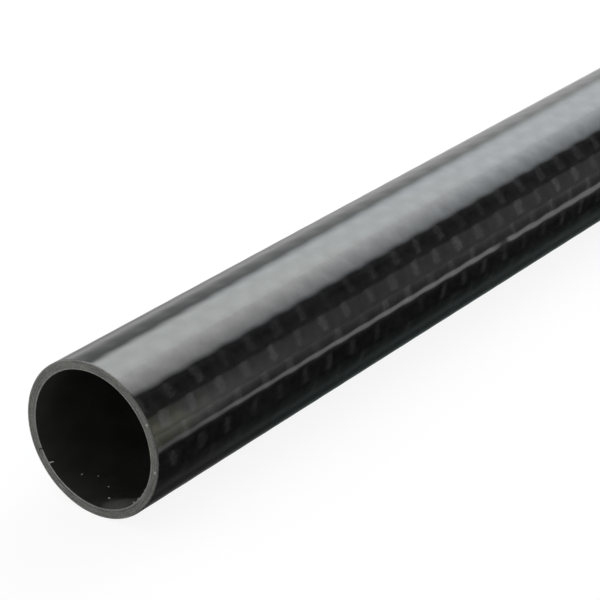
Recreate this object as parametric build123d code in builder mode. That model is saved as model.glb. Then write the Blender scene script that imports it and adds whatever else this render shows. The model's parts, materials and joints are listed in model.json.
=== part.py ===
"""Carbon fibre tube, sold as straight stock.

A length of round thin-walled tube, rolled from woven carbon cloth and epoxy on a steel mandrel,
sanded, clear-coated and sawn square at both ends. It is one piece. It lies on its side along X,
with its lowest line on the ground plane and the middle of its length at the origin.
"""

import os

from build123d import *

# Driving dimensions, in millimetres
outer_diameter = 16.0  # over the clear coat
wall = 1.0  # laminate thickness, outside to mandrel face
length = 500.0  # sawn length of the stock
outer_edge_break = 0.12  # rounding that sanding and clear coat leave round the outside of each cut
bore_edge_break = 0.08  # burr-free bevel round the inside of each cut

# Sizes that follow from them
outer_radius = outer_diameter / 2
bore_radius = outer_radius - wall
axis_height = outer_radius  # the tube lies on its outside

# The tube's cross-section plane: X runs along the tube, and the origin is on its axis, at mid length
mid_length = Plane(origin=(0, 0, axis_height), x_dir=(0, 1, 0), z_dir=(1, 0, 0))


# The tube: one ring of laminate, run both ways from mid length to the two saw cuts
with BuildPart() as tube:
    with BuildSketch(mid_length):
        Circle(outer_radius)
        Circle(bore_radius, mode=Mode.SUBTRACT)
    extrude(amount=length / 2, both=True)

    cut_edges = tube.edges().filter_by(GeomType.CIRCLE)
    outer_edges = cut_edges.filter_by(lambda edge: edge.radius > bore_radius + wall / 2)
    bore_edges = cut_edges.filter_by(lambda edge: edge.radius < bore_radius + wall / 2)
    fillet(outer_edges, radius=outer_edge_break)
    chamfer(bore_edges, length=bore_edge_break)

tube.part.label = "tube"

os.makedirs("parts", exist_ok=True)
export_step(tube.part, "parts/tube.step")
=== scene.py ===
import json
import math

import bpy
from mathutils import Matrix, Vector


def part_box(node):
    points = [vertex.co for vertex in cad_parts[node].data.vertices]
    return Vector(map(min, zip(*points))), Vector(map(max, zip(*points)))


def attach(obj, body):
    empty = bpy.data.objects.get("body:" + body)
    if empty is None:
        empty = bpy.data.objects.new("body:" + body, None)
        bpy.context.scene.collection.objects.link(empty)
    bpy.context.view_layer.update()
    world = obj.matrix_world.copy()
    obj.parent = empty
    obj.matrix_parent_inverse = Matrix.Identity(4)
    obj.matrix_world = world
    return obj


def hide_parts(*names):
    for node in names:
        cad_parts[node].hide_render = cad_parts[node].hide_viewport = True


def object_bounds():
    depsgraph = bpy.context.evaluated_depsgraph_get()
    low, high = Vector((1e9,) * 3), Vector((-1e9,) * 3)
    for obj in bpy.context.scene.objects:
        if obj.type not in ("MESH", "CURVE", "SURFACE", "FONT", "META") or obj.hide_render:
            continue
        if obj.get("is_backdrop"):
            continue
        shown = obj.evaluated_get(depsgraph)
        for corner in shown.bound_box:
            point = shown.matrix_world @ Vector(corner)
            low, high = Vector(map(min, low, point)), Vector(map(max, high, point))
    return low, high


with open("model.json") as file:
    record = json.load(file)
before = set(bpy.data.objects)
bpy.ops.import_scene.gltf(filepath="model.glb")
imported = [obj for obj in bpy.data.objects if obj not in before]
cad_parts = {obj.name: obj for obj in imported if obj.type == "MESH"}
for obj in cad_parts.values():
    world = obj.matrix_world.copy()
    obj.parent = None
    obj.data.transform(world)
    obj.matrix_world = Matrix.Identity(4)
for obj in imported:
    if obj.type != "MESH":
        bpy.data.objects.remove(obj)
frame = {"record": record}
cad_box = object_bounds()
scene = bpy.context.scene
scene.view_settings.view_transform = "Standard"


# The camera
# It looks down past the near cut and along the tube, upright, through a long lens with no shift. It was
# fitted to the outlines of the cut and of the bore, and is placed from the middle of the near cut.
tube_low, tube_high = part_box("tube")
axis_height = (tube_low.z + tube_high.z) / 2
near_cut = Vector((tube_low.x, 0, axis_height))
camera_from_cut = Vector((-0.14404, -0.13018, 0.10499))
camera_tilt = math.radians(25.15)  # below the horizon
camera_heading = math.radians(36.43)  # from the tube's axis toward +Y
lens_mm = 142.59

bpy.ops.object.camera_add(
    location=near_cut + camera_from_cut,
    rotation=(math.radians(90) - camera_tilt, 0, camera_heading - math.radians(90)),
)
camera = bpy.context.object
camera.name = "camera"
camera.data.lens = lens_mm
scene.camera = camera


# The tube
# One length of thin round tube, lying on its side. Plain-woven carbon cloth and epoxy are rolled on a steel
# mandrel and cured under tape; the outside is sanded, clear-coated and polished. Both ends are sawn square.
mounts = {mount["name"]: mount["dims"] for mount in frame["record"]["mounts"]}
outer_radius = mounts["outside"]["r_mm"] / 1000
bore_radius = mounts["bore"]["r_mm"] / 1000
tube_length = tube_high.x - tube_low.x
outer_break = 0.00005  # rounding of the outside edge of a cut
bore_break = 0.00003  # bevel of the inside edge of a cut

tow_rows = 25  # axial tows side by side round the tube
row_angle = math.tau / tow_rows
first_row = math.radians(5.6)  # middle of row 0, from the top toward the camera
weave_repeats = 123  # pairs of hoop tows in the tube's length
weave_repeat = tube_length / weave_repeats
first_float = weave_repeat / 2  # from the near cut to the first hoop float of row 0
float_share = 0.25  # of the repeat, along the axis, that a hoop float shows

steps_round = tow_rows * 4  # in the mesh
steps_along = 6  # in one repeat
coat_relief = 0.000016  # how far the weave prints through the clear coat, crown to hollow
coat_ripple = 0.000010  # how far the coat dips besides, where the cloth lies unevenly
ripple_size = 0.0022  # from one dip to the next, roughly
coat_skew = 0.14  # of the repeat: how far along from a float its print lies, on average round the tube
skew_swing = 0.11  # how much that changes round the tube, three times over
skew_peak = math.radians(33)  # where it is most, from the top toward the camera


def deselect_everything():
    bpy.ops.object.select_all(action="DESELECT")


def clear_selection(piece):
    """In object mode: no face, edge or vertex of the piece stays selected."""
    for element in (*piece.data.polygons, *piece.data.edges, *piece.data.vertices):
        element.select = False


def select_vertices(piece, wanted):
    """In edit mode: the vertices whose place passes the test are selected, and nothing else."""
    bpy.ops.object.mode_set(mode="OBJECT")
    clear_selection(piece)
    for vertex in piece.data.vertices:
        vertex.select = wanted(vertex.co)
    bpy.ops.object.mode_set(mode="EDIT")


def select_edges(piece, wanted):
    """In edit mode: the edges with both ends at places that pass the test are selected, and nothing else."""
    bpy.ops.object.mode_set(mode="OBJECT")
    clear_selection(piece)
    passes = [wanted(vertex.co) for vertex in piece.data.vertices]
    for edge in piece.data.edges:
        edge.select = passes[edge.vertices[0]] and passes[edge.vertices[1]]
    bpy.ops.object.mode_set(mode="EDIT")


def off_axis(place):
    """How far the place is from the tube's axis."""
    return math.hypot(place.y, place.z - axis_height)


def angle_round(place):
    """The angle round the tube's axis, from the top toward the camera."""
    return math.atan2(-place.y, place.z - axis_height)


def weave_depth(place):
    """1 where a hoop float prints through, lowest, 0 where an axial float does, and smooth between."""
    angle = angle_round(place)
    skew = coat_skew + skew_swing * math.cos(3 * (angle - skew_peak))
    across = math.cos(math.pi * (angle - first_row) / row_angle)
    along = math.cos(math.tau * ((place.x - near_cut.x - first_float) / weave_repeat - skew))
    return 0.5 + 0.5 * across * along


# One repeat of the cloth, which then runs along the tube
deselect_everything()
bpy.ops.mesh.primitive_circle_add(
    vertices=steps_round, radius=outer_radius, location=near_cut, rotation=(0, math.radians(90), 0)
)
tube = bpy.context.object
tube.name = "woven_tube"
bpy.ops.object.transform_apply(location=True, rotation=True, scale=True)
bpy.ops.object.mode_set(mode="EDIT")
bpy.ops.mesh.select_all(action="SELECT")
for _ in range(steps_along):
    bpy.ops.mesh.extrude_edges_move(TRANSFORM_OT_translate={"value": (weave_repeat / steps_along, 0, 0)})
bpy.ops.object.mode_set(mode="OBJECT")

relief = tube.vertex_groups.new(name="weave")
for vertex in tube.data.vertices:
    relief.add([vertex.index], weave_depth(vertex.co), "REPLACE")
print_through = tube.modifiers.new("print_through", "DISPLACE")
print_through.vertex_group = relief.name
print_through.mid_level = 0
print_through.strength = -coat_relief
bpy.ops.object.modifier_apply(modifier=print_through.name)
tube.vertex_groups.clear()

repeats = tube.modifiers.new("repeats", "ARRAY")
repeats.count = weave_repeats
repeats.use_relative_offset = False
repeats.use_constant_offset = True
repeats.constant_offset_displace = (weave_repeat, 0, 0)
repeats.use_merge_vertices = True
repeats.merge_threshold = 0.000002
bpy.ops.object.modifier_apply(modifier=repeats.name)

unevenness = bpy.data.textures.new("unevenness", "CLOUDS")
unevenness.noise_scale = ripple_size
ripple = tube.modifiers.new("ripple", "DISPLACE")
ripple.texture = unevenness
ripple.texture_coords = "LOCAL"
ripple.mid_level = 1
ripple.strength = coat_ripple
bpy.ops.object.modifier_apply(modifier=ripple.name)

# The coat runs true to just short of the cut, so that the edge's rounding does not shade it
short_of_cut = 0.00015
bpy.ops.object.mode_set(mode="EDIT")
for end_x in (tube_low.x + short_of_cut, tube_high.x - short_of_cut):
    bpy.ops.mesh.select_all(action="SELECT")
    bpy.ops.mesh.bisect(plane_co=(end_x, 0, axis_height), plane_no=(1, 0, 0))

# The two cuts: rings of laminate, with a fine groove at each resin line between the plies
near = 0.00001  # two places closer than this count as one
line_shares = (0.27, 0.5, 0.74)  # of the wall, from the outside in to each resin line
ply_lines = [outer_radius - share * (outer_radius - bore_radius) for share in line_shares]
line_half_width = 0.000025
line_depth = 0.000015


def draw_ring(cut_centre, from_radius, to_radius, sink=0.0):
    """Extrudes the selected ring, moves it so far along the tube and closes it to a smaller radius."""
    size = to_radius / from_radius
    bpy.ops.mesh.extrude_edges_move(TRANSFORM_OT_translate={"value": (sink, 0, 0)})
    bpy.ops.transform.resize(value=(1, size, size), center_override=cut_centre)
    return to_radius


for end_x, sink in ((tube_low.x, line_depth), (tube_high.x, -line_depth)):
    cut_centre = (end_x, 0, axis_height)
    select_vertices(tube, lambda place: abs(place.x - end_x) < near)
    radius = outer_radius
    for line in ply_lines:
        radius = draw_ring(cut_centre, radius, line + line_half_width)
        radius = draw_ring(cut_centre, radius, line, sink)
        radius = draw_ring(cut_centre, radius, line - line_half_width, -sink)
    draw_ring(cut_centre, radius, bore_radius)

# The bore, drawn from one cut to the other
select_vertices(tube, lambda place: abs(off_axis(place) - bore_radius) < 3 * near)
bpy.ops.mesh.bridge_edge_loops()


def at_cut_edge(radius):
    """A test for places on the edge of that radius, at either cut."""
    return lambda place: (
        tube_length / 2 - abs(place.x) < near and abs(off_axis(place) - radius) < 3 * near
    )


bpy.context.tool_settings.mesh_select_mode = (False, True, False)
select_edges(tube, at_cut_edge(outer_radius))
bpy.ops.mesh.bevel(offset=outer_break, segments=4, affect="EDGES")
select_edges(tube, at_cut_edge(bore_radius))
bpy.ops.mesh.bevel(offset=bore_break, segments=1, affect="EDGES")

# A split in the inner plies of the near cut, where the saw left the laminate
split_angle = math.radians(-115.2)
split_top = ply_lines[1] + near  # it ends at the middle resin line
split_width = 0.00013
split_depth = 0.00045


def on_split(place):
    """Whether the place is on the near cut, on the line where it splits."""
    on_cut = place.x - tube_low.x < bore_break + near and off_axis(place) < split_top
    return on_cut and abs(angle_round(place) - split_angle) * off_axis(place) < near


select_edges(tube, on_split)
bpy.ops.mesh.bevel(offset=split_width / 2, segments=2, affect="EDGES")
bpy.context.tool_settings.mesh_select_mode = (True, False, False)
select_vertices(tube, lambda place: on_split(place) and off_axis(place) < split_top - 2 * near)
bpy.ops.transform.translate(value=(split_depth, 0, 0))

bpy.ops.mesh.select_all(action="SELECT")
bpy.ops.mesh.normals_make_consistent(inside=False)
bpy.ops.object.mode_set(mode="OBJECT")
bpy.ops.object.shade_smooth_by_angle(angle=math.radians(30))


# The tube's three surfaces: the woven outside, the saw cuts and the bore
# The hoop tows are painted lighter than the axial tows, which are the same fibre: painted sheen, for the way
# the hoop fibres catch the light
hoop_colour_and_sheen = (0.027, 0.027, 0.027)
axial_colour = (0.0080, 0.0080, 0.0082)
fibre_roughness = 0.42
tow_wander = 0.22  # of a row: how far the edges of an axial tow stray
hoop_middle = -0.06  # of a row, from its middle to the middle of its hoop floats
hoop_ends = (0.47, 0.33)  # of a row, from there: where a hoop float is gone, and where it is whole
hoop_edge = 0.10  # of the repeat: how softly a hoop float sets in at its sides, either way
crimp_height = 0.00002  # how far a float bows up between the tows that hold it down

coat_roughness = 0.03
coat_ior = 1.52
coat_polish = 0.95  # of a perfect reflection
# Painted shade: the coat is made duller on one flank of each tow, standing in for its tilt from the light
flank_shade_depth = 0.036  # of the polish, on the dull flank of a tow

cut_colour = (0.160, 0.160, 0.148)
cut_roughness = 0.6
saw_relief = 0.000012  # height of the grain that the saw left
pale_chips = ((61.1, 0.00766), (97.6, 0.00756))  # chips of resin: angle round the tube in degrees, radius

bore_colour = (0.0297, 0.030, 0.0281)
bore_roughness = 0.35


class Wire:
    """A socket in a material's node tree. Arithmetic on wires adds Math nodes."""

    def __init__(self, tree, socket=None):
        self.tree = tree
        self.socket = socket

    def node(self, kind, settings, inputs, output=0):
        """Adds a node, sets it, feeds its sockets with values or wires, and gives one of its outputs."""
        node = self.tree.nodes.new(kind)
        for name, value in settings.items():
            setattr(node, name, value)
        for key, value in inputs.items():
            if isinstance(value, Wire):
                self.tree.links.new(value.socket, node.inputs[key])
            else:
                node.inputs[key].default_value = value
        return Wire(self.tree, node.outputs[output])

    def math(self, operation, *values):
        return self.node("ShaderNodeMath", {"operation": operation}, dict(enumerate(values)))

    def __add__(self, other):
        return self.math("ADD", self, other)

    def __sub__(self, other):
        return self.math("SUBTRACT", self, other)

    def __mul__(self, other):
        return self.math("MULTIPLY", self, other)

    def __truediv__(self, other):
        return self.math("DIVIDE", self, other)

    def __pow__(self, power):
        return self.math("POWER", self, power)

    def __neg__(self):
        return self.math("MULTIPLY", self, -1.0)

    def __abs__(self):
        return self.math("ABSOLUTE", self)

    def __round__(self):
        return self.math("ROUND", self)

    __radd__ = __add__
    __rmul__ = __mul__

    def __rsub__(self, other):
        return self.math("SUBTRACT", other, self)

    def sine(self):
        return self.math("SINE", self)

    def cosine(self):
        return self.math("COSINE", self)

    def slide(self, low, high, from_value, to_value):
        """from_value up to low, to_value from high on, and a straight line between them."""
        return self.node("ShaderNodeMapRange", {}, {0: self, 1: low, 2: high, 3: from_value, 4: to_value})

    def step(self, low, high):
        """0 below low, 1 above high, and a smooth rise between them. low may be the larger."""
        return self.node(
            "ShaderNodeMapRange", {"interpolation_type": "SMOOTHSTEP"}, {0: self, 1: low, 2: high}
        )

    def blend(self, below, above):
        """The colour below where this wire is 0, the colour above where it is 1. Either may be a wire."""
        return self.node(
            "ShaderNodeMix",
            {"data_type": "RGBA", "clamp_factor": False},
            {0: self, 6: rgba(below), 7: rgba(above)},
            output=2,
        )


def rgba(colour):
    """A colour as a socket takes it. A wire stays as it is."""
    return colour if isinstance(colour, Wire) else (*colour, 1.0)


def new_material(name):
    """A material with an empty node tree but for its Principled shader, and a wire to start from."""
    material = bpy.data.materials.new(name)
    material.use_nodes = True
    shader = material.node_tree.nodes["Principled BSDF"]
    return material, shader, Wire(material.node_tree)


def feed(shader, **sockets):
    """Sets or links a shader's sockets, named with underscores for spaces."""
    for name, value in sockets.items():
        socket = shader.inputs[name.replace("_", " ")]
        if isinstance(value, Wire):
            value.tree.links.new(value.socket, socket)
        else:
            socket.default_value = value


def tube_coordinates(wire):
    """Along the tube from the near cut, across its axis, up from the axis, and the angle round it."""
    place = wire.node("ShaderNodeTexCoord", {}, {}, output="Object")
    parts = [wire.node("ShaderNodeSeparateXYZ", {}, {0: place}, output=axis) for axis in "XYZ"]
    along = parts[0] - near_cut.x
    across = -parts[1]
    up = parts[2] - axis_height
    return along, across, up, across.math("ARCTAN2", across, up)


def streaks(wire, first, second, third=0.0, detail=2.0):
    """Noise read at stretched coordinates, from 0 to 1."""
    place = wire.node("ShaderNodeCombineXYZ", {}, {0: first, 1: second, 2: third})
    return wire.node("ShaderNodeTexNoise", {}, {"Vector": place, "Scale": 1.0, "Detail": detail})


def chance(wire, row, repeat, draw):
    """A number from 0 to 1 for each float of the cloth, another for each draw."""
    place = wire.node("ShaderNodeCombineXYZ", {}, {0: row, 1: repeat, 2: draw})
    return wire.node("ShaderNodeTexWhiteNoise", {}, {"Vector": place})


def bump(wire, height, distance):
    """A normal for a surface that rises by the distance where the height goes from 0 to 1."""
    return wire.node("ShaderNodeBump", {}, {"Strength": 1.0, "Distance": distance, "Height": height})


def woven_laminate():
    """Graphite-grey fibres, plain-woven, under a polished clear coat."""
    material, shader, wire = new_material("woven_laminate")
    along, _, _, angle = tube_coordinates(wire)
    wander = (streaks(wire, along / 0.0016, angle * 5.0) - 0.5) * tow_wander
    row_place = (angle - first_row) / row_angle + wander
    row = round(row_place)
    in_row = row_place - row  # from -0.5 to 0.5 across an axial tow
    repeat_place = (along - first_float) / weave_repeat + row * 0.5
    repeat = round(repeat_place)
    in_repeat = repeat_place - repeat  # 0 in the middle of a hoop float

    # No two floats are quite alike: each leans, shifts, spreads and frays a little
    lean = (chance(wire, row, repeat, 0.0) - 0.5) * 0.2
    shift = (chance(wire, row, repeat, 1.0) - 0.5) * 0.08
    fray = (streaks(wire, along / 0.0006, angle * 13.0) - 0.5) * 0.24
    half = float_share * (0.36 + 0.28 * chance(wire, row, repeat, 2.0)) * (1.1 - 1.4 * in_row * in_row)
    # Painted shade: from the front downward the hoop floats are drawn narrower, as less of each float
    # catches the light there
    half = half * angle.slide(math.radians(80), math.radians(88), 1.0, 0.7)
    in_hoop = in_repeat + in_row * lean - shift + fray
    hoop = abs(in_hoop).step(half + hoop_edge, half - hoop_edge) * abs(in_row - hoop_middle).step(*hoop_ends)

    # Each float has its own shade, streaked along its fibres and blotched where the resin over them is thick
    blotches = streaks(wire, along / 0.0010, angle * 8.0, 3.0)
    hoop_fibres = streaks(wire, along / 0.00018, angle * 3.0)
    axial_fibres = streaks(wire, along / 0.014, angle * 55.0)
    hoop_shade = (0.62 + hoop_fibres * 0.6) * (0.6 + 0.65 * chance(wire, row, repeat, 3.0))
    hoop_shade = hoop_shade * (0.5 + blotches)
    axial_shade = (0.62 + axial_fibres * 0.7) * (0.8 + 0.35 * chance(wire, row, repeat, 4.0))
    axial_shade = axial_shade * (0.1 + blotches * 1.8)

    # Painted glint: the hoop floats are painted brightest on the front, and darker above it and below, for
    # the way their fibres catch the light there
    hoop_shade = hoop_shade * angle.slide(math.radians(52), math.radians(60), 0.78, 1.35)
    for from_angle, to_angle, share in ((72, 82, 0.66), (97, 102, 0.6)):
        hoop_shade = hoop_shade * angle.slide(math.radians(from_angle), math.radians(to_angle), 1.0, share)
    hoop_tone = hoop_shade.blend((0, 0, 0), hoop_colour_and_sheen)
    axial_tone = axial_shade.blend((0, 0, 0), axial_colour)

    # Floats bow up: hoop floats round the tube, axial floats along it
    in_axial = (0.5 - abs(in_repeat)) / (0.5 - float_share / 2)
    hoop_crown = (in_row * math.tau).cosine()
    axial_crown = (in_axial * math.pi).cosine()
    crown = 0.5 + 0.5 * (axial_crown + (hoop_crown - axial_crown) * hoop)

    # The polish is a little duller on one flank of each tow, as painted shade standing in for that flank's
    # tilt from the light, and in patches
    flank_shade = (in_repeat * math.tau).sine() * (in_row * math.pi).cosine()
    patches = streaks(wire, along / 0.0011, angle * 7.0, 9.0, detail=4.0)
    patch_depth = angle.slide(math.radians(20), math.radians(28), 0.15, 0.34)
    polish = coat_polish - flank_shade * flank_shade_depth + (patches - 0.5) * patch_depth
    feed(
        shader,
        Base_Color=hoop.blend(axial_tone, hoop_tone),
        Specular_IOR_Level=0.0,
        Roughness=fibre_roughness,
        Normal=bump(wire, crown, crimp_height),
        Coat_Weight=polish,
        Coat_Roughness=coat_roughness,
        Coat_IOR=coat_ior,
    )
    return material


def sawn_laminate():
    """Cut fibre and resin, sanded to a dull grey. The ring's edges are paler, and the resin lines darker."""
    material, shader, wire = new_material("sawn_laminate")
    _, across, up, angle = tube_coordinates(wire)
    radius = (across * across + up * up) ** 0.5
    mottle = streaks(wire, across / 0.0011, up / 0.0011)
    grain = streaks(wire, across / 0.00016, up / 0.00016)
    scratches = streaks(wire, (across + up * 0.4) / 0.00007, up / 0.004)
    shade = 0.98 + (mottle - 0.5) * 0.6 + (grain - 0.5) * 1.8 + (scratches - 0.5) * 0.6

    # Both edges are pale, partly worn and partly painted highlight where the rounded edges catch the light,
    # but the front of the outside edge is dark, where the coat chipped off
    chipped = abs(angle - math.radians(86)).step(math.radians(62), math.radians(44))
    outer_rim = radius.step(outer_radius - 0.0002, outer_radius - 0.00005) * (1 - chipped)
    rim = radius.step(bore_radius + 0.00016, bore_radius + 0.00004) + outer_rim
    rim_wear_and_highlight = streaks(wire, angle * 5.0, radius / 0.001)
    chips = streaks(wire, angle * 40.0, radius / 0.0003).step(0.2, 0.5)
    coat_edge = radius.step(outer_radius - 0.00022, outer_radius - 0.00008) * chipped * chips
    shade = shade * (1 + rim * rim_wear_and_highlight * 1.1) * (1 - coat_edge * 0.75)

    # The resin lines show here and there, and most where the saw came out
    torn_and_lit = abs(angle + math.radians(140)).step(math.radians(34), math.radians(18))
    # Painted light: there, low on the cut, the ring is also painted paler, against the shade of the table
    # close below
    shade = shade * (1 + torn_and_lit * 0.25)
    for line in ply_lines:
        seam = abs(radius - line).step(0.00010, 0.00003)
        seam_depth = streaks(wire, angle * 2.0, line * 9000.0).step(0.42, 0.62) * 0.4
        seam_depth = seam_depth + torn_and_lit * streaks(wire, angle * 9.0, line * 7000.0).step(0.35, 0.5) * 0.5
        shade = shade * (1 - seam * seam_depth)

    for chip_angle, chip_radius in pale_chips:
        turn = math.radians(chip_angle)
        chip_across = across - chip_radius * math.sin(turn)
        chip_up = up - chip_radius * math.cos(turn)
        chip = (chip_across * chip_across + chip_up * chip_up) ** 0.5
        shade = shade * (1 + chip.step(0.00018, 0.00008) * 1.6)
    feed(
        shader,
        Base_Color=shade.blend((0, 0, 0), cut_colour),
        Roughness=cut_roughness,
        Specular_IOR_Level=0.3,
        Normal=bump(wire, grain + scratches, saw_relief),
    )
    return material


def mandrel_side():
    """The bore: dark resin as the mandrel left it, paler in one patch just inside the mouth."""
    material, shader, wire = new_material("mandrel_side")
    along, across, up, _ = tube_coordinates(wire)
    film = streaks(wire, along / 0.004, across / 0.002, up / 0.002)

    # One oval patch on the floor of the bore is paler, and speckled
    pale_patch_length = (along - 0.0010) / 0.0016
    pale_patch_width = (across - 0.0022) / 0.0019
    pale_patch = (pale_patch_length * pale_patch_length + pale_patch_width * pale_patch_width).step(1.3, 0.2) * up.step(0.0, -0.004)
    specks = streaks(wire, along / 0.0003, across / 0.0003, up / 0.0003)

    # Painted light: the resin is painted darkest a little way in, and paler from there on and toward the top
    shade = (0.5 + film) * along.slide(0.0005, 0.003, 1.05, 0.8) * along.slide(0.005, 0.012, 1.0, 1.8)
    shade = shade * up.slide(0.0015, 0.004, 1.0, 1.35) + pale_patch * (0.4 + specks) * 3.0
    feed(
        shader,
        Base_Color=shade.blend((0, 0, 0), bore_colour),
        Roughness=bore_roughness,
        Specular_IOR_Level=0.3,
    )
    return material


outside_finish, cut_finish, bore_finish = range(3)
for material in (woven_laminate(), sawn_laminate(), mandrel_side()):
    tube.data.materials.append(material)
for face in tube.data.polygons:
    from_end = tube_length / 2 - abs(face.center.x)
    if off_axis(face.center) < bore_radius + near:
        face.material_index = bore_finish
    elif from_end < near or off_axis(face.center) < split_top:
        face.material_index = cut_finish
    else:
        face.material_index = outside_finish

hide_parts("tube")
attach(tube, "root")


# The saw crumbs
# Specks of cured resin and sawdust that the saw left, stuck to the bore just inside the near mouth. Each is
# a squashed and roughened ball, and they are joined into one mesh.
crumb_colour = (0.30, 0.30, 0.28)
crumb_squash = (1.3, 0.8, 0.7)
crumb_jag = 0.35  # of its size: how far its corners stray
crumb_stand = 0.3  # of its size: from the wall of the bore to its middle
crumb_turn = 37  # degrees on from one crumb to the next, so that no two lie alike
crumbs = (  # angle round the tube in degrees, depth from the cut, size
    (211.6, 0.00242, 0.00010),
    (203.2, 0.00369, 0.00008),
    (189.7, 0.00335, 0.00008),
    (178.5, 0.00185, 0.00011),
    (119.0, 0.00024, 0.00012),
    (124.0, 0.00029, 0.00016),
    (131.5, 0.00026, 0.00014),
    (137.5, 0.00022, 0.00012),
)


def place_round(angle, radius, depth):
    """The place at an angle in degrees round the axis, at a radius, so far in from the near cut."""
    turn = math.radians(angle)
    return near_cut + Vector((depth, -radius * math.sin(turn), radius * math.cos(turn)))


deselect_everything()
made = []
for number, (angle, depth, size) in enumerate(crumbs):
    middle = place_round(angle, bore_radius - crumb_stand * size, depth)
    bpy.ops.mesh.primitive_ico_sphere_add(subdivisions=2, radius=size, location=middle)
    crumb = bpy.context.object
    crumb.scale = crumb_squash
    crumb.rotation_euler = (math.radians(-angle), 0, math.radians(crumb_turn * number))
    bpy.ops.object.transform_apply(location=True, rotation=True, scale=True)
    bpy.ops.object.mode_set(mode="EDIT")
    bpy.ops.mesh.select_all(action="SELECT")
    bpy.ops.transform.vertex_random(offset=crumb_jag * size, seed=number)
    bpy.ops.object.mode_set(mode="OBJECT")
    made.append(crumb)
for crumb in made:
    crumb.select_set(True)
bpy.context.view_layer.objects.active = made[0]
bpy.ops.object.join()
saw_crumbs = bpy.context.object
saw_crumbs.name = "saw_crumbs"

material, shader, wire = new_material("saw_dust")
along, across, up, _ = tube_coordinates(wire)
dust_grain = streaks(wire, along / 0.00004, across / 0.00004, up / 0.00004)
feed(shader, Base_Color=(0.5 + dust_grain).blend((0, 0, 0), crumb_colour), Roughness=0.7)
saw_crumbs.data.materials.append(material)
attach(saw_crumbs, "root")


# The loose fibre
# A few filaments stuck together with resin, which the saw pulled out of the inner ply of the near cut. They
# hang off the edge of the bore, drawn out of their root length by length, each thinner and a little askew.
fibre_colour = (0.36, 0.36, 0.33)
fibre_root = place_round(232.4, bore_radius + 0.00002, 0.00011)  # just inside the wall
fibre_tip = place_round(231.6, 0.00644, 0.00013)
fibre_width = 0.00018
fibre_taper = 0.68  # of its width, left after each length
fibre_lengths = (0.2, 0.3, 0.3, 0.2)  # shares of its length
fibre_sag = (0.00002, 0.00001, -0.00002, -0.00004)  # what each length rises or falls besides

run = fibre_tip - fibre_root
deselect_everything()
bpy.ops.mesh.primitive_circle_add(
    vertices=8,
    radius=fibre_width / 2,
    fill_type="NGON",
    location=fibre_root,
    rotation=run.to_track_quat("Z", "Y").to_euler(),
)
loose_fibre = bpy.context.object
loose_fibre.name = "loose_fibre"
bpy.ops.object.transform_apply(location=True, rotation=True, scale=True)
bpy.ops.object.mode_set(mode="EDIT")
bpy.context.tool_settings.mesh_select_mode = (False, False, True)
bpy.ops.mesh.select_all(action="SELECT")
for share, sag in zip(fibre_lengths, fibre_sag):
    length = run * share + Vector((0, 0, sag))
    bpy.ops.mesh.extrude_region_move(TRANSFORM_OT_translate={"value": length})
    bpy.ops.transform.resize(value=(fibre_taper, fibre_taper, fibre_taper))
bpy.ops.mesh.select_all(action="SELECT")
bpy.ops.mesh.normals_make_consistent(inside=False)
bpy.context.tool_settings.mesh_select_mode = (True, False, False)
bpy.ops.object.mode_set(mode="OBJECT")
bpy.ops.object.shade_smooth_by_angle(angle=math.radians(40))

material, shader, wire = new_material("frayed_fibre")
along, across, up, _ = tube_coordinates(wire)
strands = streaks(wire, across / 0.0002, (along + up) / 0.00002)
feed(shader, Base_Color=(0.6 + strands * 0.8).blend((0, 0, 0), fibre_colour), Roughness=0.55)
loose_fibre.data.materials.append(material)
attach(loose_fibre, "root")


# The studio
# A pale table, an even white room and one long softbox over the tube. Sheets of grey and black card stand
# beside it and lie on the table, out of the picture. Only the gloss shows them: they shape its reflections.
floor_size = 12.0
floor_white = (0.6, 0.6, 0.6)  # in the light that it gives back
floor_seen = (0.12, 0.12, 0.12)  # in the picture, with the glow
floor_glow = 0.89
room_white = 0.75


def seen_rays(wire):
    """1 on rays that show the background itself: from the camera, in the gloss and through glass."""
    any_ray = wire.node("ShaderNodeLightPath", {}, {}, output="Is Camera Ray")
    for ray in ("Is Glossy Ray", "Is Transmission Ray"):
        any_ray = any_ray + wire.node("ShaderNodeLightPath", {}, {}, output=ray)
    return any_ray.math("MINIMUM", any_ray, 1.0)


deselect_everything()
bpy.ops.mesh.primitive_plane_add(size=floor_size, location=(0, 0, 0))
floor = bpy.context.object
floor.name = "floor"
material, shader, wire = new_material("floor")
seen = seen_rays(wire)
feed(
    shader,
    Base_Color=seen.blend(floor_white, floor_seen),
    Roughness=0.9,
    Specular_IOR_Level=0.0,
    Emission_Color=(1, 1, 1, 1),
    Emission_Strength=seen * floor_glow,
)
floor.data.materials.append(material)
floor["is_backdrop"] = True

world = bpy.data.worlds.new("room")
scene.world = world
world.use_nodes = True
room = Wire(world.node_tree)
background = world.node_tree.nodes["Background"]
background.inputs["Color"].default_value = (1, 1, 1, 1)
room_strength = room_white + seen_rays(room) * (1 - room_white)
world.node_tree.links.new(room_strength.socket, background.inputs["Strength"])


def from_axis(angle, distance):
    """Across and up from the floor, of a place at that angle round the tube's axis and that far from it."""
    turn = math.radians(angle)
    return Vector((-distance * math.sin(turn), axis_height + distance * math.cos(turn)))


def plain_white(along, across, up, angle):
    return (1, 1, 1)


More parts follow.
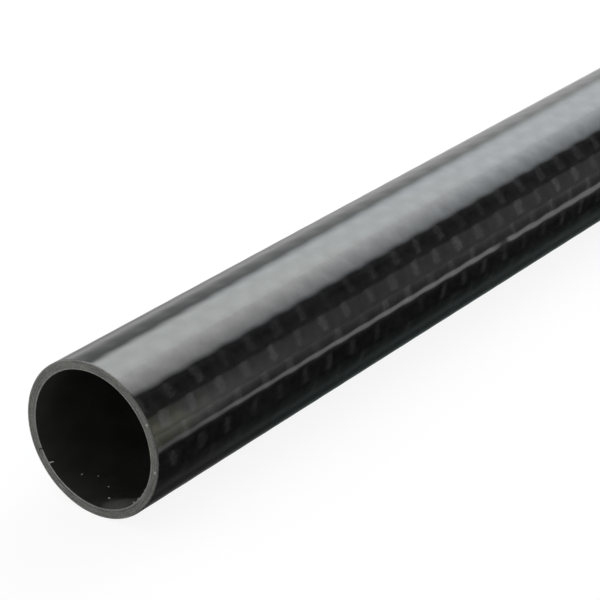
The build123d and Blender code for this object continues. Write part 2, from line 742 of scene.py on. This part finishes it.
def sheet(name, low_rail, high_rail, from_x, to_x, glow, colour=plain_white, lights=False):
    """A flat sheet between two rails along the tube. glow and colour take the tube's coordinates."""
    middle = (low_rail + high_rail) / 2
    run = high_rail - low_rail
    deselect_everything()
    bpy.ops.mesh.primitive_plane_add(
        size=1,
        location=((from_x + to_x) / 2, middle.x, middle.y),
        rotation=(math.atan2(run.y, run.x), 0, 0),
    )
    card = bpy.context.object
    card.name = name
    card.scale = (to_x - from_x, run.length, 1)
    bpy.ops.object.transform_apply(location=True, rotation=True, scale=True)
    material, shader, wire = new_material(name)
    here = tube_coordinates(wire)
    feed(
        shader,
        Base_Color=(0, 0, 0, 1),
        Specular_IOR_Level=0.0,
        Roughness=1.0,
        Emission_Color=rgba(colour(*here)),
        Emission_Strength=glow(*here),
    )
    card.data.materials.append(material)
    card.visible_camera = False
    if not lights:
        card.visible_diffuse = False
        card.visible_shadow = False
    card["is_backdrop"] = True


softbox_facing = math.radians(-12)  # it hangs a little behind the tube
softbox_distance = 0.40
softbox_from = 0.0
softbox_to = 0.95
softbox_front_edge = 34  # degrees round the tube's axis, from the top toward the camera
softbox_back_edge = -72
near_box_from = -0.95  # its near part lights nothing and shows in the gloss alone


def softbox_glow(along, across, up, angle):
    """Brightest over the tube, darker toward its far end, and fading into the dim wall at its back edge."""
    true_reach = along * (angle - softbox_facing).cosine()  # along, were it curved round the tube
    reach = true_reach.math("MAXIMUM", true_reach, 0.30)
    light = angle.slide(math.radians(-44), math.radians(-30), 3.9, 4.7)
    for from_angle, to_angle, share in ((-30, -14, 1.24), (-6, -1.5, 0.86), (0, 26, 0.505)):
        light = light * angle.slide(math.radians(from_angle), math.radians(to_angle), 1.0, share)
    light = light * reach.slide(0.30, 0.65, 1.09, 0.74)

    # Its near end is masked, and shows in the gloss alone
    glossy = along.node("ShaderNodeLightPath", {}, {}, output="Is Glossy Ray")
    light = light * glossy.math("MAXIMUM", glossy, true_reach.step(0.25, 0.34))

    # Its back edge moves out and softens toward the far end, and its front edge moves out a little
    farther = reach - 0.385
    back_slope = math.radians(29)  # for each metre
    front_slope = math.radians(9)
    back_edge = math.radians(-48) - back_slope * farther
    softness = math.radians(8.5) + back_slope * farther
    inside = ((angle - back_edge) / softness).step(-1.0, 1.0)
    wall = reach.slide(0.38, 0.59, 0.62, 1.0)
    lit = wall + (light - wall) * inside
    return lit * (angle - front_slope * farther).step(math.radians(35), math.radians(23))


def softbox_colour(along, across, up, angle):
    """A touch green at the back and neutral in front, and cooler toward the far end, but for the wall."""
    near_colour = angle.step(math.radians(-12), 0.0).blend((0.955, 1.0, 0.985), (1.0, 1.0, 1.0))
    cool = along.slide(0.46, 0.62, 0.0, 1.0) * angle.step(math.radians(-66), math.radians(-44))
    return cool.blend(near_colour, (0.945, 1.0, 1.04))


def softbox_rail(angle):
    """The edge of the softbox at that angle in degrees. It is flat, and faces the tube's axis."""
    away = softbox_distance / math.cos(math.radians(angle) - softbox_facing)
    return from_axis(angle, away)


for name, from_x, to_x, lights in (
    ("softbox", softbox_from, softbox_to, True),
    ("softbox_near", near_box_from, softbox_from, False),
):
    sheet(
        name,
        softbox_rail(softbox_front_edge),
        softbox_rail(softbox_back_edge),
        from_x,
        to_x,
        softbox_glow,
        softbox_colour,
        lights,
    )

cards_from = -0.35
cards_to = 1.20
card_height = 0.75
lift = 0.00005  # of a card that lies on the table
tube_clearance = 0.001
wall_away = 0.85


def wall_glow(along, across, up, angle):
    """Dim, paler toward the far end and toward the table."""
    above = along.slide(0.86, 1.26, 0.60, 0.98)
    foot = along.slide(0.80, 1.0, 1.0, 0.90)
    foot_height = 0.26
    return above + (foot - above) * up.slide(0.0, foot_height, 1.0, 0.0)


def wall_floor_glow(along, across, up, angle):
    """Dim behind the near end but for a pale patch close by, and paler far off and toward the far end."""
    behind = -across
    near_grey = 0.41
    far_grey = 0.74
    middle = along.slide(0.06, 0.14, near_grey, far_grey)
    patch = behind.step(0.053, 0.026) * along.slide(0.04, 0.075, 0.34, 0.03)
    return middle + (far_grey - middle) * behind.step(0.06, 0.13) + 0.13 * behind.step(0.12, 0.5) + patch


wall_foot = Vector((wall_away, 0.0))
wall_top = Vector((wall_away, card_height))
sheet("wall_card", wall_foot, wall_top, cards_from, cards_to, wall_glow)
sheet(
    "wall_floor_card",
    Vector((tube_clearance, lift)),
    Vector((wall_away, lift)),
    cards_from,
    cards_to,
    wall_floor_glow,
)

front_away = -0.35


def front_grey(along, across, angle):
    """Paler toward the near end, and most so low down."""
    card_grey = 0.36
    nearness = (along / across).slide(0.92, 1.22, 1.0, 0.0) ** 2.5
    return card_grey + nearness * angle.slide(math.radians(63), math.radians(85), 0.30, 0.56)


def front_glow(along, across, up, angle):
    """Grey below, with a pale patch at its near end, and nearly black above."""
    below = angle.step(math.radians(60.5), math.radians(66.5))
    above = angle.slide(math.radians(34), math.radians(44), 0.14, 0.06)
    above = above + angle.slide(math.radians(46), math.radians(58), 0.0, 0.06)
    patch = abs(angle - math.radians(81)).step(math.radians(9), math.radians(2))
    near_end = (along / across).slide(0.90, 0.955, 1.0, 0.0)
    grey = front_grey(along, across, angle) + near_end * patch * 0.40
    return above + (grey - above) * below


def front_colour(along, across, up, angle):
    """Warmer at the near end, and farther along higher up."""
    rise = math.radians(87) - angle
    near_end = (along / across - rise * rise * 0.515).slide(0.90, 0.96, 1.0, 0.0)
    return near_end.blend((1, 1, 1), (0.985, 1.0, 0.78))


def front_floor_glow(along, across, up, angle):
    """Black beside the tube, then a strip of bare white table, covered in one place, then grey."""
    torn_edge = (streaks(along, along / 0.0040, 0.0, 2.0) - 0.5) * 0.0014

    # The strip runs closer to the tube toward the far end
    inner = along.slide(0.035, 0.115, 0.0294, 0.0217) + torn_edge
    outer = along.slide(0.035, 0.115, 0.0378, 0.0306)
    soft = 0.0024
    beyond = across.step(outer - soft, outer + 0.005)

    # A narrow slip of black card lies over it, aslant
    slip_slant = 1.19  # along, for each metre across
    slip_start = 0.0533  # along, under the tube's axis
    covered = abs(along - slip_slant * across - slip_start).step(0.0022, 0.0008)
    bare = (across.step(inner - soft, inner + soft) - beyond) * (1 - covered * 0.8)

    # The black is paler in three bands: right under the tube, beside it and before the strip
    black = across.slide(0.0085, 0.0120, 0.055, 0.012) * along.slide(0.015, 0.08, 1.0, 1.3)
    black = black + 0.030 * across.step(0.0093, 0.0081) - 0.042 * across.step(0.0074, 0.0067)
    black = black + 0.11 * across.step(inner - 0.008, inner) + 0.10 * across.step(0.0056, 0.0040)

    # The strip is brightest in the middle of its length, and uneven
    white = along.slide(0.025, 0.034, 0.72, 1.0) * along.slide(0.033, 0.06, 1.12, 1.47)
    white = white * along.slide(0.089, 0.098, 1.0, 0.84)
    white = white * (0.72 + 0.56 * streaks(along, along / 0.0045, 0.0, 5.0))

    grey = front_grey(along, across, angle)
    grey = grey * across.slide(0.045, 0.095, 0.55, 1.0) * across.slide(0.1, 0.2, 1.0, 1.3)
    return black + (white - black) * bare + (grey - black) * beyond


def front_floor_colour(along, across, up, angle):
    """A little green beside the tube, and warmer toward the near end."""
    beside = (along.step(0.012, 0.026) * across.step(0.013, 0.010)).blend((1, 1, 1), (0.80, 1.0, 0.95))
    near_end = (along / across).slide(0.84, 0.96, 1.0, 0.0) * across.step(0.036, 0.046)
    return near_end.blend(beside, (0.985, 1.0, 0.76))


sheet(
    "front_card",
    Vector((front_away, 0.0)),
    Vector((front_away, card_height)),
    cards_from,
    cards_to,
    front_glow,
    front_colour,
)
sheet(
    "front_floor_card",
    Vector((front_away, lift)),
    Vector((-tube_clearance, lift)),
    cards_from,
    cards_to,
    front_floor_glow,
    front_floor_colour,
)

visual_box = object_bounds()
boxes = {"cad": cad_box, "visual": visual_box}
{name: [list(corner) for corner in box] for name, box in boxes.items()}
